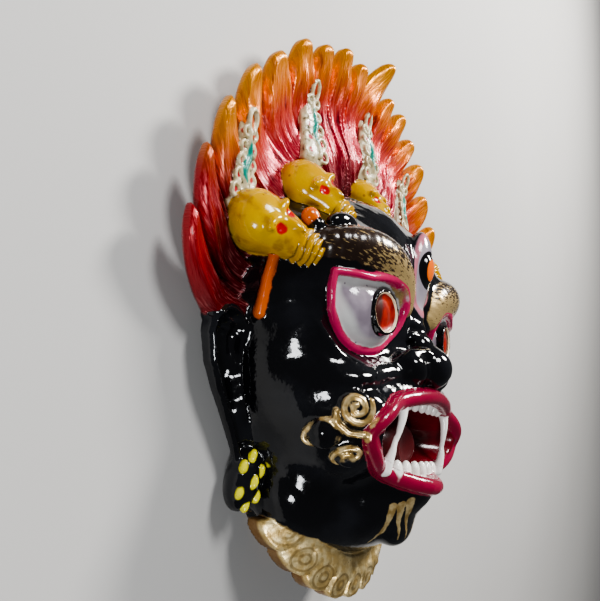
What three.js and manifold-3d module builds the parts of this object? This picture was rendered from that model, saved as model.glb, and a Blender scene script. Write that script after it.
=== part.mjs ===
// A small cast-metal wall mask of a wrathful guardian deity: a broad black face with three
// eyes and an open, fanged mouth, long ears, a diadem of five skulls with feather plumes,
// a fan of flame-shaped hair behind it and a scalloped collar under the chin. It is one
// casting with a hollow back, and it lies on its back here.
// Millimetres. +Z is up, out of the face; +Y points to the crown; X runs across the face.

import * as THREE from "three";
import { mergeVertices } from "three/addons/utils/BufferGeometryUtils.js";
import Module from "manifold-3d";

const wasm = await Module();
wasm.setup();

// Driving sizes, in millimetres.
const HEIGHT = 124; // from the collar's lowest lobe to the peak flame
const WALL = 3; // the casting's wall over the hollow back
const CROWN_THICKNESS = 3.5; // the plate that the flames grow from
const CROWN_LIFT = 5.5; // how far the crown's edge stands off the surface behind it
const COLLAR_THICKNESS = 4;

// The carving is laid out on a grid of 124 units to the height, with its zero on the
// face's centre line between the eyes.
const GRID_HEIGHT = 124;
const unit = HEIGHT / GRID_HEIGHT;
const wall = WALL / unit;
const crownThickness = CROWN_THICKNESS / unit;
const crownLift = CROWN_LIFT / unit;
const collarThickness = COLLAR_THICKNESS / unit;

// The head's outline is a superellipse about (0, HEAD.y), narrower towards the chin.
const HEAD = { y: -4, halfWidth: 37, up: 30, down: 46, power: 2.4, depth: 25 };
const TAPER = { up: 0.12, down: -0.24 }; // how much wider it is at its top, narrower below
// The crown's flames fan out about (0, FAN.y), on each side of a taller middle one.
const FAN = { y: 5, inner: 15, flat: 32.5, valley: 48.5, tip: 55.5, peak: 60.3 };
const FLAMES = 9;
const FLAME_SPREAD = 91; // degrees from the middle flame to the last one
const FLAME_EASE = 1.2; // above 1, the flames are narrower towards the middle
const FLAME_BEND = 24; // degrees that the side flames bend upwards from their roots
const MOUTH = { y: -26.6, halfWidth: 20.8, halfHeight: 8.6, power: 1.75, floor: 16 };
const LIP = { width: 1.6, height: 1.9 };
const EYE = { x: 18.6, y: -4, z: 17, half: [12, 8, 8.2] };
// Skulls, from the centre outwards: place, turn about Z away from the centre, and size.
const SKULLS = [
  { x: 0, y: 25.4, z: 8.2, turn: 0, size: 1.08 },
  { x: HEAD.halfWidth - 10.6, y: 18.8, z: 9.8, turn: 36, size: 1.08 },
  { x: HEAD.halfWidth + 1.8, y: 7.6, z: 10, turn: 61, size: 1 },
];
const SKULL_TILT = 37; // degrees that a skull leans back, so that its muzzle stands highest
const PLUMES = [
  { x: 0, y: 32, z: 6.5, lean: 0 },
  { x: HEAD.halfWidth - 13.4, y: 27, z: 6.5, lean: 4 },
  { x: HEAD.halfWidth + 5.2, y: 11, z: 7, lean: 6 },
];
const PLUME_LENGTH = 18;
// The collar's outer edge is an ellipse about (0, COLLAR.y), between two angles.
const COLLAR = { y: -36, halfWidth: 25, halfHeight: 22.5, from: 203, to: 337, band: 7.5 };
const COLLAR_LOBES = 9;
const SKULL = { halfWidth: 5.2, cranium: 7.2, jaw: 10.5, front: 4.6, back: 6.5 };

const Z = new THREE.Vector3(0, 0, 1);
const STEP = 1e-3;
const SIDES = [-1, 1];
const radians = THREE.MathUtils.degToRad;
const lerp = THREE.MathUtils.lerp;
const smooth = THREE.MathUtils.smoothstep;
const vec = (x, y, z) => new THREE.Vector3(x, y, z);
const turned = (x, y, z) => new THREE.Quaternion().setFromEuler(new THREE.Euler(x, y, z));

// Solids

// A BufferGeometry from points in grid units and triangles.
function shape(points, triangles) {
  const flat = points.flatMap((p) => [p.x * unit, p.y * unit, p.z * unit]);
  const made = new THREE.BufferGeometry();
  made.setAttribute("position", new THREE.Float32BufferAttribute(flat, 3));
  made.setIndex(triangles);
  return made;
}

function toSolid(geometry) {
  const bare = geometry.clone();
  bare.deleteAttribute("normal");
  bare.deleteAttribute("uv");
  const merged = mergeVertices(bare, 1e-4);
  return new wasm.Manifold(
    new wasm.Mesh({
      numProp: 3,
      vertProperties: new Float32Array(merged.attributes.position.array),
      triVerts: new Uint32Array(merged.index.array),
    }),
  );
}

const join = (solids) => solids.reduce((whole, next) => whole.add(next));

// A tube along a path, with an elliptical section. half(t) gives its half width and half
// height; the width lies square to Z.
function sweep(path, half, { steps, sides, closed = false, ease = (t) => t }) {
  const points = [];
  const triangles = [];
  const rings = closed ? steps : steps + 1;
  for (let i = 0; i < rings; i++) {
    const t = ease(i / steps);
    const ahead = path(closed ? t + STEP : Math.min(t + STEP, 1));
    const behind = path(closed ? t - STEP : Math.max(t - STEP, 0));
    const along = ahead.sub(behind).normalize();
    const side = vec(0, 0, 0).crossVectors(Z, along).normalize();
    const rise = vec(0, 0, 0).crossVectors(along, side);
    const [width, height] = half(t);
    for (let j = 0; j < sides; j++) {
      const a = (2 * Math.PI * (j + 0.5)) / sides;
      const ring = side.clone().multiplyScalar(width * Math.cos(a));
      points.push(ring.addScaledVector(rise, height * Math.sin(a)).add(path(t)));
    }
  }
  for (let i = 0; i < steps; i++)
    for (let j = 0; j < sides; j++) {
      const [k, next] = [(j + 1) % sides, (i + 1) % rings];
      const [a, b, c, d] = [i * sides + j, i * sides + k, next * sides + k, next * sides + j];
      triangles.push(a, b, c, a, c, d);
    }
  if (!closed) {
    points.push(path(ease(0)), path(ease(1)));
    const [first, last] = [points.length - 2, steps * sides];
    for (let j = 0; j < sides; j++) {
      const k = (j + 1) % sides;
      triangles.push(first, k, j, first + 1, last + j, last + k);
    }
  }
  return toSolid(shape(points, triangles));
}

// An ellipsoid in grid units, leant about Y, tilted about X and turned about Z by degrees.
function ellipsoid(centre, half, { turn = 0, tilt = 0, lean = 0, detail = [8, 6] } = {}) {
  const matrix = new THREE.Matrix4().compose(
    vec(...centre),
    turned(radians(tilt), radians(lean), radians(turn)),
    vec(...half),
  );
  matrix.premultiply(new THREE.Matrix4().makeScale(unit, unit, unit));
  return toSolid(new THREE.SphereGeometry(1, ...detail).applyMatrix4(matrix));
}

// A ball whose surface points are moved by form(direction), inside an outer matrix.
function blob(form, detail, outer) {
  const ball = new THREE.SphereGeometry(1, ...detail);
  const position = ball.getAttribute("position");
  for (let i = 0; i < position.count; i++) {
    const p = form(vec(0, 0, 0).fromBufferAttribute(position, i));
    position.setXYZ(i, p.x, p.y, p.z);
  }
  const scale = new THREE.Matrix4().makeScale(unit, unit, unit);
  return toSolid(ball.applyMatrix4(outer).applyMatrix4(scale));
}

// The solid between two surfaces over a grid of (u, v) from 0 to 1 that place() maps to
// [x, y]. The map keeps its handedness, so that the faces point out.
function slab(place, columns, rows, top, bottom) {
  const points = [];
  const triangles = [];
  for (const height of [top, bottom])
    for (let i = 0; i <= columns; i++)
      for (let j = 0; j <= rows; j++) {
        const [x, y] = place(i / columns, j / rows);
        points.push(vec(x, y, height(x, y, i / columns, j / rows)));
      }
  const count = (columns + 1) * (rows + 1);
  const at = (i, j) => i * (rows + 1) + j;
  const quad = (a, b, c, d) => triangles.push(a, b, c, a, c, d);
  for (let i = 0; i < columns; i++)
    for (let j = 0; j < rows; j++) {
      const [a, b, c, d] = [at(i, j), at(i + 1, j), at(i + 1, j + 1), at(i, j + 1)];
      quad(a, b, c, d);
      quad(count + d, count + c, count + b, count + a);
    }
  const wallBetween = (a, b) => quad(a, count + a, count + b, b);
  for (let i = 0; i < columns; i++) {
    wallBetween(at(i, 0), at(i + 1, 0));
    wallBetween(at(i + 1, rows), at(i, rows));
  }
  for (let j = 0; j < rows; j++) {
    wallBetween(at(columns, j), at(columns, j + 1));
    wallBetween(at(0, j + 1), at(0, j));
  }
  return toSolid(shape(points, triangles));
}

// The head

// 1 at a place's middle, falling smoothly to 0 on an ellipse of half sizes rx and ry.
function bump(x, y, cx, cy, rx, ry) {
  const d = ((x - cx) / rx) ** 2 + ((y - cy) / ry) ** 2;
  return d < 1 ? (1 - d) ** 2 : 0;
}

// What the broad forms of the face add to the plain head: cheeks, muzzle, chin, brows and
// eye sockets. Both halves are alike.
function faceRelief(x, y) {
  const a = Math.abs(x);
  return (
    6.8 * bump(a, y, 23, -27.5, 13, 16) +
    8 * bump(x, y, 0, -27, 27, 21) +
    7 * bump(x, y, 0, -42, 14, 13) +
    1.5 * bump(a, y, 22, 7, 16, 8) -
    4.6 * bump(a, y, 18.5, -7, 15, 11) -
    5 * bump(a, y, 23, 19, 17, 11)
  );
}

// How wide the head is at a height, as a share of its half width.
function taper(y) {
  const s = (y - HEAD.y) / (y > HEAD.y ? HEAD.up : -HEAD.down);
  return 1 + s * (y > HEAD.y ? TAPER.up : TAPER.down);
}

// How far out a superellipse reaches at an angle, as a share of its half sizes.
function superellipse(angle, power) {
  const [c, s] = [Math.cos(angle), Math.sin(angle)];
  const reach = (Math.abs(c) ** power + Math.abs(s) ** power) ** (-1 / power);
  return [reach * c, reach * s];
}

// The head's dome: 1 in the middle, falling to 0 on its outline.
const domeFall = (share) => Math.sqrt(Math.max(0, 1 - share ** 4));

// The head as a closed dome over its outline, shrunk by inset, with a flat bottom.
function dome(inset, depth, relief, around, rings) {
  const points = [vec(0, HEAD.y, depth + relief * faceRelief(0, HEAD.y))];
  const triangles = [];
  for (const share of rings)
    for (let j = 0; j < around; j++) {
      const [c, s] = superellipse((2 * Math.PI * j) / around, HEAD.power);
      const y = HEAD.y + share * s * ((s > 0 ? HEAD.up : HEAD.down) - inset);
      const x = share * c * (HEAD.halfWidth - inset) * taper(y);
      const fall = domeFall(share);
      points.push(vec(x, y, depth * fall + relief * Math.min(1, 2 * fall) * faceRelief(x, y)));
    }
  const at = (ring, j) => 1 + ring * around + (j % around);
  const last = rings.length - 1;
  points.push(vec(0, HEAD.y, 0));
  for (let j = 0; j < around; j++) {
    triangles.push(0, at(0, j), at(0, j + 1));
    for (let i = 0; i < last; i++) {
      triangles.push(at(i, j), at(i + 1, j), at(i + 1, j + 1));
      triangles.push(at(i, j), at(i + 1, j + 1), at(i, j + 1));
    }
    triangles.push(points.length - 1, at(last, j + 1), at(last, j));
  }
  return toSolid(shape(points, triangles));
}

const HEAD_RINGS = [0.16, 0.32, 0.47, 0.6, 0.72, 0.83, 0.91, 0.97, 1];
const HOLLOW_RINGS = [0.35, 0.65, 0.85, 0.96, 1];
const SOCKET_ROOM = 2.5; // how much the hollow keeps clear of the eye sockets

const head = () => dome(0, HEAD.depth, 1, 32, HEAD_RINGS);
const hollow = () => dome(wall, HEAD.depth - wall - SOCKET_ROOM, 0, 20, HOLLOW_RINGS);
const chin = () => ellipsoid([0, -40.5, 15], [14, 9, 12], { detail: [9, 6] });

// The front of the head at a place, for what is set on it.
function faceHeight(x, y) {
  const up = Math.abs((y - HEAD.y) / (y > HEAD.y ? HEAD.up : HEAD.down)) ** HEAD.power;
  const across = Math.abs(x / (HEAD.halfWidth * taper(y))) ** HEAD.power;
  const fall = domeFall((across + up) ** (1 / HEAD.power));
  return HEAD.depth * fall + Math.min(1, 2 * fall) * faceRelief(x, y);
}

// The mouth

function mouthRim(t) {
  const [c, s] = superellipse(2 * Math.PI * t, MOUTH.power);
  const [x, y] = [c * MOUTH.halfWidth, MOUTH.y + s * MOUTH.halfHeight];
  return vec(x, y, faceHeight(x, y));
}

const lips = () =>
  sweep(mouthRim, () => [LIP.width, LIP.height], { steps: 18, sides: 5, closed: true });

// A lens-shaped pocket behind the lips. grow makes the casting's wall around it.
function mouthPocket(grow, detail) {
  const depth = 20;
  const half = [MOUTH.halfWidth + grow, MOUTH.halfHeight + grow, depth + grow];
  return ellipsoid([0, MOUTH.y, MOUTH.floor + depth], half, { detail });
}

// A tooth: a cone from its root, length along Y, leaning sideways.
function tooth(x, y, z, length, radius, lean, steps) {
  const path = (t) => vec(x + lean * t, y + length * t, z + 0.6 * t);
  const half = (t) => [radius * (1.05 - 0.75 * t ** 2), radius * (1 - 0.7 * t ** 2)];
  return sweep(path, half, { steps, sides: 4 });
}

function teeth() {
  const made = [];
  for (const side of SIDES) {
    const [top, bottom] = [MOUTH.y + MOUTH.halfHeight, MOUTH.y - MOUTH.halfHeight];
    for (const x of [2.3, 6.8]) made.push(tooth(side * x, top + 0.4, 28.4, -4.6, 2, 0, 1));
    for (const x of [2.4, 7.2]) made.push(tooth(side * x, bottom - 0.2, 28, 5, 2, 0, 1));
    made.push(tooth(side * 11.4, top - 0.2, 27.8, -11.6, 1.7, side, 2));
    made.push(tooth(side * 13.6, bottom + 0.8, 27, 7.4, 1.8, side * -1.5, 2));
  }
  return made;
}

const tongue = () => ellipsoid([0, -28.5, 18.6], [10, 5.6, 6], { tilt: 18, detail: [8, 5] });

// Three raised curls beside each corner of the mouth.
const CURLS = [
  { x: 22.8, y: -21.2, radius: 3.3 },
  { x: 22.8, y: -31, radius: 2.6 },
  { x: 26.4, y: -26.8, radius: 3 },
];

// A place on the face, with the directions along it outwards and up.
function faceFrame(x, y) {
  const slope = (dx, dy) => faceHeight(x + dx, y + dy) - faceHeight(x - dx, y - dy);
  return {
    place: vec(x, y, faceHeight(x, y)),
    out: vec(1, 0, slope(0.5, 0)).normalize(),
    up: vec(0, 1, slope(0, 0.5)).normalize(),
  };
}

function cheekCurl({ x, y, radius }, side) {
  const { place, out, up } = faceFrame(x, y);
  const spiral = (t) => {
    const a = 2 * Math.PI * t;
    const r = radius * (1 - 0.5 * t);
    const p = place.clone().addScaledVector(out, r * Math.cos(a)).addScaledVector(up, r * Math.sin(a));
    return vec(side * p.x, p.y, p.z);
  };
  return sweep(spiral, () => [0.9, 0.9], { steps: 7, sides: 4 });
}

const chinTuft = () => ellipsoid([0, -43.2, 23.6], [5, 5.2, 4], { tilt: -25 });

// The nose: a short bridge, a broad tip and two flared wings.
function nose() {
  const bridge = (t) => vec(0, lerp(1, -11, t), lerp(24.5, 28.5, t));
  const made = [
    sweep(bridge, (t) => [lerp(3, 4.4, t), lerp(2.4, 3.4, t)], { steps: 1, sides: 6 }),
    ellipsoid([0, -11.8, 28], [5, 4.6, 5.2]),
  ];
  for (const side of SIDES)
    made.push(ellipsoid([side * 6, -13, 26.4], [4.2, 3.4, 4], { turn: side * 20, detail: [7, 5] }));
  return made;
}

// The eyes

// A point on an eye's teardrop outline, which rises towards its outer corner.
function eyeRim(t, side) {
  const a = 2 * Math.PI * t;
  const outward = 0.5 - 0.5 * Math.cos(a);
  const x = EYE.x - EYE.half[0] * Math.cos(a);
  const y = EYE.y + EYE.half[1] * Math.sin(a) + 5 * outward ** 3;
  return vec(side * x, y, faceHeight(x, y) + 1.3 - 0.5 * outward);
}

function eye(side) {
  const lid = (t) => eyeRim(side > 0 ? t : -t, side);
  const ball = { lean: side * 12, turn: side * 12, detail: [10, 6] };
  return [
    ellipsoid([side * EYE.x, EYE.y, EYE.z], EYE.half, ball),
    sweep(lid, () => [1.1, 1.3], { steps: 13, sides: 4, closed: true }),
    ellipsoid([side * 17.2, -3.7, 23.4], [4.2, 4.2, 2.4], { lean: side * 8, detail: [8, 4] }),
  ];
}

// A brow: a thick ridge that rises from the nose over the eye to the temple.
function brow(side) {
  const spine = new THREE.CatmullRomCurve3(
    [
      [5, 0.5, 24.5],
      [10, 5, 23.4],
      [19, 8, 21.2],
      [28, 8, 17],
      [34, 6, 11.5],
    ].map(([x, y, z]) => vec(side * x, y, z)),
  );
  const half = (t) => [3.5 * Math.sin(Math.PI * (0.2 + 0.68 * t)) ** 0.8, 2.2];
  return sweep((t) => spine.getPoint(t), half, { steps: 5, sides: 6 });
}

// The third eye stands upright on the forehead.
const thirdEye = () => [
  ellipsoid([0, 8.6, 22.8], [4.6, 10, 3.6], { tilt: 4, detail: [10, 7] }),
  ellipsoid([0, 10, 25.2], [2.5, 3.4, 1.6], { tilt: 4, detail: [8, 4] }),
];

// The ears

// A long ear: a cupped upper part with a rolled rim, and a lobe drawn out down to the
// earring.
function ear(side) {
  const top = HEAD.halfWidth + 0.8;
  const spine = (t) => vec(side * (top - 11.6 * t ** 1.3), lerp(-9, -37, t), 4.4);
  const plate = (t) => [lerp(4.6, 2.4, smooth(t, 0.2, 0.75)), 2.4];
  const roll = (t) => {
    const a = radians(lerp(170, -20, Math.min(1, 1.7 * t)));
    const down = Math.max(0, 1.7 * t - 1);
    const x = top - 0.6 + 4 * Math.cos(a) - 11.6 * down ** 1.1;
    return vec(side * x, -12.4 + 5 * Math.sin(a) - 20 * down, 6.6);
  };
  return [
    sweep(spine, plate, { steps: 5, sides: 6 }),
    sweep(roll, () => [1, 1.1], { steps: 8, sides: 4 }),
  ];
}

// An earring: an oval boss set with small lozenges.
function earring(side) {
  const boss = [side * (HEAD.halfWidth - 11.8), -39, 4.6];
  const made = [ellipsoid(boss, [4.1, 6.2, 4], { turn: side * 14 })];
  const setting = [[0, 3.8], [-1.9, 1], [1.9, 1.4], [-1.6, -2.6], [1.6, -2.4]];
  for (const [x, y] of setting) {
    const height = 3.4 - 0.12 * (x ** 2 + 0.4 * y ** 2);
    const place = [boss[0] + side * x, boss[1] + y, boss[2] + height];
    made.push(ellipsoid(place, [0.9, 1.4, 1], { detail: [4, 2] }));
  }
  return made;
}

// The diadem

// A skull, modelled looking along +Z with its cranium to +Y, then leant back and turned.
// It narrows towards the jaw, and its back runs deep into the hair.
function skull({ x, y, z, turn, size }, side) {
  const outer = new THREE.Matrix4().compose(
    vec(side * x, y, z),
    turned(0, 0, radians(side * -turn)).multiply(turned(radians(-SKULL_TILT), 0, 0)),
    vec(size, size, size),
  );
  const form = (d) => {
    const jaw = smooth(-d.y, 0, 0.8);
    const socket = d.z > 0 ? bump(Math.abs(d.x), d.y, 0.5, -0.1, 0.4, 0.4) : 0;
    return vec(
      d.x * SKULL.halfWidth * (1 - 0.3 * jaw),
      d.y * (d.y > 0 ? SKULL.cranium : SKULL.jaw),
      d.z * (d.z > 0 ? SKULL.front : SKULL.back) - 3 * socket,
    );
  };
  return blob(form, [10, 8], outer);
}

// A feather plume: a long leaf with scrolled edges and a sunken middle.
function plume({ x, y, z, lean }, side) {
  const [c, s] = [Math.cos(radians(lean)), Math.sin(radians(lean))];
  const place = (u, v) => {
    const scroll = 1 + 0.22 * Math.cos(2 * Math.PI * 3 * v - 1);
    const width = scroll * lerp(3.4, 1.4, v ** 1.5) * Math.min(1, 4 * (1.06 - v));
    const [across, along] = [(2 * u - 1) * width, PLUME_LENGTH * v - 1.5];
    return [side * x + side * s * along + c * across, y + c * along - side * s * across];
  };
  const top = (px, py, u) => crownFront(px, py) + (u > 0.1 && u < 0.9 ? 3.2 : 1.8);
  return slab(place, 3, 7, top, () => z - 4);
}

// Round beads between the skulls, and the ribbon that hangs beside each temple.
function trimmings(side) {
  const edge = HEAD.halfWidth - 0.8;
  const ribbon = (t) => vec(side * (edge - 1.6 * t), lerp(2, -8, t), lerp(11, 8, t));
  const bead = (x, y) => [side * x, y, faceHeight(x, y) - 0.4];
  return [
    ellipsoid(bead(15, 17), [3.6, 2.4, 2.2], { turn: side * -20, detail: [7, 5] }),
    ellipsoid(bead(30.5, 11), [2.1, 2.1, 2], { detail: [6, 4] }),
    sweep(ribbon, () => [1.3, 3], { steps: 2, sides: 5 }),
  ];
}

// The crown

const fanPoint = (angle, radius) => [
  radius * Math.sin(radians(angle)),
  FAN.y + radius * Math.cos(radians(angle)),
];

const crownBack = (x, y) => crownLift * smooth(Math.hypot(x, y - FAN.y), FAN.flat, FAN.tip);
// The hair swells behind the diadem, up to the skulls.
const swell = (x, y) => 4.5 * (1 - smooth(Math.hypot(x, y - FAN.y), 30, 45));
const crownFront = (x, y) => crownBack(x, y) + crownThickness + swell(x, y);

// The fan of flames: leaves side by side, each raised along its middle and round at its
// tip. Their roots lie lower than their tips, so that the side flames bend upwards.
function crown() {
  const count = 2 * FLAMES + 1;
  const angleAt = (u) => {
    const number = (u - 0.5) * count;
    return Math.sign(number) * FLAME_SPREAD * (Math.abs(number) / FLAMES) ** FLAME_EASE;
  };
  const fromMiddle = (u) => Math.abs(2 * ((u * count) % 1) - 1); // 0 along a flame's middle
  const tipAt = (u) => lerp(FAN.peak, FAN.tip, Math.min(1, Math.abs(u - 0.5) * count * 0.45));
  const place = (u, v) => {
    const t = Math.sin((Math.PI / 2) * v);
    const angle = angleAt(u);
    const edge = lerp(tipAt(u), FAN.valley, fromMiddle(u) ** 2.2);
    const bend = FLAME_BEND * Math.sin(radians(angle)) ** 4 * Math.sign(angle) * (1 - t ** 3);
    return fanPoint(angle + bend, lerp(FAN.inner, edge, t));
  };
  const top = (x, y, u, v) => {
    const ridge = 2.6 * (1 - fromMiddle(u) ** 1.5) * smooth(v, 0.1, 0.7) * (1 - 0.6 * v ** 6);
    return crownFront(x, y) - 0.8 + ridge;
  };
  return slab(place, 3 * count, 4, top, crownBack);
}

// The collar

const collarPoint = (angle, out) => [
  (COLLAR.halfWidth + out) * Math.cos(radians(angle)),
  COLLAR.y + (COLLAR.halfHeight + out) * Math.sin(radians(angle)),
];
const collarHeight = (x) => 8 + 9 * (1 - Math.abs(x / COLLAR.halfWidth) ** 3);

// A curved band that stands off below the jaw, with a row of raised lobes along its
// outer edge.
function collar() {
  const fromMiddle = (u) => Math.abs(2 * ((u * COLLAR_LOBES) % 1) - 1);
  const place = (u, v) => {
    const lobe = (1 - v) ** 2 * 1.8 * (1 - fromMiddle(u) ** 2);
    return collarPoint(lerp(COLLAR.from, COLLAR.to, u), lobe - v * COLLAR.band);
  };
  const top = (x, y, u, v) => {
    const crest = Math.sin(Math.PI * Math.min(1, 1.5 * v)) * (1 - fromMiddle(u) ** 2);
    return collarHeight(x) - 1 + 1.6 * crest;
  };
  const back = (x, y, u, v) => (v > 0.5 ? 0 : Math.max(0, collarHeight(x) - collarThickness));
  return slab(place, 3 * COLLAR_LOBES, 3, top, back);
}

// The whole casting

function casting() {
  const flesh = [head(), chin(), chinTuft(), ...nose(), ...thirdEye(), crown(), collar()];
  for (const side of SIDES) {
    flesh.push(...eye(side), brow(side), ...ear(side), ...earring(side), ...trimmings(side));
    for (const curl of CURLS) flesh.push(cheekCurl(curl, side));
  }
  SKULLS.forEach((place, i) => {
    for (const side of i ? SIDES : [1])
      flesh.push(skull(place, side), plume(PLUMES[i], side));
  });
  const below = new THREE.BoxGeometry(4 * HEIGHT, 4 * HEIGHT, HEIGHT).translate(0, 0, -HEIGHT / 2);
  return join(flesh)
    .subtract(mouthPocket(-0.9, [16, 8]))
    .add(join([lips(), tongue(), ...teeth()]))
    .subtract(hollow().subtract(mouthPocket(wall, [11, 6])))
    .subtract(toSolid(below));
}

function toGeometry(solid) {
  const mesh = solid.getMesh();
  const made = new THREE.BufferGeometry();
  const position = new THREE.Float32BufferAttribute(mesh.vertProperties, mesh.numProp);
  made.setAttribute("position", position);
  made.setIndex(new THREE.BufferAttribute(mesh.triVerts, 1));
  return made;
}

const enamel = new THREE.MeshStandardMaterial({ color: 0x0b0c10, roughness: 0.18, metalness: 0 });

const mask = new THREE.Mesh(toGeometry(casting()), enamel);
mask.name = "mask";

// The origin lies under the middle of the mask.
const box = new THREE.Box3().setFromBufferAttribute(mask.geometry.getAttribute("position"));
const middle = box.getCenter(vec(0, 0, 0));
mask.geometry.translate(-middle.x, -middle.y, -box.min.z);

const group = new THREE.Group();
group.add(mask);
export default group;
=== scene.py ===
import math

import bpy
import numpy as np
from mathutils import Matrix, Vector


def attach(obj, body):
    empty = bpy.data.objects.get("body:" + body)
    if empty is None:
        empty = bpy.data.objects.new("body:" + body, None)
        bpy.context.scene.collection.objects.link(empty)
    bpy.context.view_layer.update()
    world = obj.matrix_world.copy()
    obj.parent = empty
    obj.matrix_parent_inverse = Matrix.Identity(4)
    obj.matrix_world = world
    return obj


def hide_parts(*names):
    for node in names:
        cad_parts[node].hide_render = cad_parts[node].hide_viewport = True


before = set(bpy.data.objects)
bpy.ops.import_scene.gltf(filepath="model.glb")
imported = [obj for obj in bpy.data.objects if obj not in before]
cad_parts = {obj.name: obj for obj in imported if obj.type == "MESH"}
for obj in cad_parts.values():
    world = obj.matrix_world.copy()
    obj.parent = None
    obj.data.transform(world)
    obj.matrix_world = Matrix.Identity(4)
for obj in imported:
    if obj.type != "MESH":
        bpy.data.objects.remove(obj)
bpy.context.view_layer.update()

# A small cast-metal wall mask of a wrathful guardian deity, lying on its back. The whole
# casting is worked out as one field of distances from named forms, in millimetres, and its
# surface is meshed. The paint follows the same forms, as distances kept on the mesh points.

MM = 0.001
STEP = 0.32  # spacing of the grid that the surface is drawn on
LOW = np.array([-56.5, -62.0, -0.8])
HIGH = np.array([56.5, 65.8, 34.6])
MIDDLE_Y = 1.92  # the casting's middle, above the layout's zero between the eyes

HEAD = {"y": -4, "half_width": 37, "up": 30, "down": 46, "power": 2.4, "depth": 25}
TAPER = {"up": 0.12, "down": -0.24}
WALL = 3.0
FAN = {"y": 5, "inner": 15, "flat": 32.5, "valley": 46.4, "tip": 55.5, "peak": 60.1}
FLAMES = 9
SPREAD = 91  # degrees from the middle flame to the last one
EASE = 1.2  # above 1, the flames are narrower towards the middle
MIDDLE_FLAME = 5.2  # degrees from the middle to the edge of the middle flame
BEND = 24
CROWN_LIFT = 5.5
CROWN_THICKNESS = 3.5
MOUTH = {"y": -26.6, "half_width": 21.8, "half_height": 8.8, "power": 1.75, "floor": 16}
MOUTH_CUT = -0.9  # how much wider than the mouth's rim its pocket is cut
HOLLOW_HEIGHT = 19.5  # from the back up to the hollow's roof
EYE = {"x": 17.8, "y": -4, "z": 17, "half": (10.6, 8, 8.2)}
COLLAR = {"y": -36, "half_width": 25, "half_height": 22.5, "from": 203, "to": 337, "band": 9.5}
LOBES = 9
# Skulls: place, turn about Z, tilt back and size. No two are quite alike.
SKULLS = [
    (-38.8, 7.6, 10.4, 61, -36, 1.0),
    (-26.4, 18.8, 10.6, 36, -38, 0.97),
    (-0.8, 25.8, 9.2, 2, -36, 0.92),
    (25.6, 18.6, 11.2, -34, -38, 1.12),
    (38.8, 7.6, 10.4, -61, -36, 1.0),
]
# Plumes: foot, lean outwards and length.
PLUMES = [(0, 32, 0, 18.5), (23.6, 27, 4, 18), (42.2, 11, 6, 17)]
SIDES = (-1, 1)
# Each plume with its side. The middle one has no twin.
ALL_PLUMES = [(plume, side) for plume in PLUMES for side in (SIDES if plume[0] else (1,))]


# Numbers over the grid

def lerp(a, b, t):
    return a + (b - a) * t


def smooth(v, a, b):
    t = np.clip((v - a) / (b - a), 0, 1)
    return t * t * (3 - 2 * t)


def bump(x, y, cx, cy, rx, ry):
    d = ((x - cx) / rx) ** 2 + ((y - cy) / ry) ** 2
    return np.where(d < 1, (1 - d) ** 2, 0)


def ridge(distance, width):
    """1 on a line, falling away on both sides of it."""
    return np.exp(-((distance / width) ** 2))


def steepness(height, x, y, e):
    """The square of the slope of a surface of heights."""
    gx = (height(x + e, y) - height(x - e, y)) / (2 * e)
    gy = (height(x, y + e) - height(x, y - e)) / (2 * e)
    return gx**2 + gy**2


def noise(x, y, seed):
    """Smooth noise from -1 to 1 over a plane, with one feature to a unit."""
    table = np.random.default_rng(seed).uniform(-1, 1, (128, 128))
    x, y = np.broadcast_arrays(x, y)
    i, j = np.floor(x).astype(int), np.floor(y).astype(int)
    u, v = x - i, y - j
    u, v = u * u * (3 - 2 * u), v * v * (3 - 2 * v)
    at = lambda a, b: table[a & 127, b & 127]
    return lerp(lerp(at(i, j), at(i + 1, j), u), lerp(at(i, j + 1), at(i + 1, j + 1), u), v)


def blend(a, b, k):
    """The nearer of two distances, rounded where they meet."""
    if k <= 0:
        return np.minimum(a, b)
    h = np.maximum(k - np.abs(a - b), 0)
    return np.minimum(a, b) - h * h / (4 * k)


def turning(turn=0, tilt=0, lean=0):
    """A rotation: leant about Y, tilted about X, then turned about Z, in degrees."""
    made = Matrix.Rotation(math.radians(turn), 3, "Z")
    made = made @ Matrix.Rotation(math.radians(tilt), 3, "X")
    return np.array(made @ Matrix.Rotation(math.radians(lean), 3, "Y"))


# Forms: each is a box and a function for the distance to its surface, negative inside

class Form:
    def __init__(self, low, high, distance):
        self.low, self.high = np.array(low, float), np.array(high, float)
        self.distance = distance


def form_around(centre, reach, distance):
    return Form(np.array(centre) - reach, np.array(centre) + reach, distance)


def local(x, y, z, centre, rotation, size=1.0):
    """A point's place in a frame that is set at a centre."""
    dx, dy, dz = x - centre[0], y - centre[1], z - centre[2]
    r = rotation / size
    return [r[0, i] * dx + r[1, i] * dy + r[2, i] * dz for i in range(3)]


def ball_distance(x, y, z, centre, half):
    a, b, c = (x - centre[0]) / half[0], (y - centre[1]) / half[1], (z - centre[2]) / half[2]
    reach = np.sqrt(a * a + b * b + c * c) + 1e-6
    slope = np.sqrt((a / half[0]) ** 2 + (b / half[1]) ** 2 + (c / half[2]) ** 2) + 1e-6
    return reach * (reach - 1) / slope


def ball(centre, half, turn=0, tilt=0, lean=0):
    rotation = turning(turn, tilt, lean)
    reach = np.sqrt((rotation ** 2) @ (np.array(half, float) ** 2))

    def distance(x, y, z):
        return ball_distance(*local(x, y, z, centre, rotation), (0, 0, 0), half)

    return form_around(centre, reach, distance)


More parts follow.
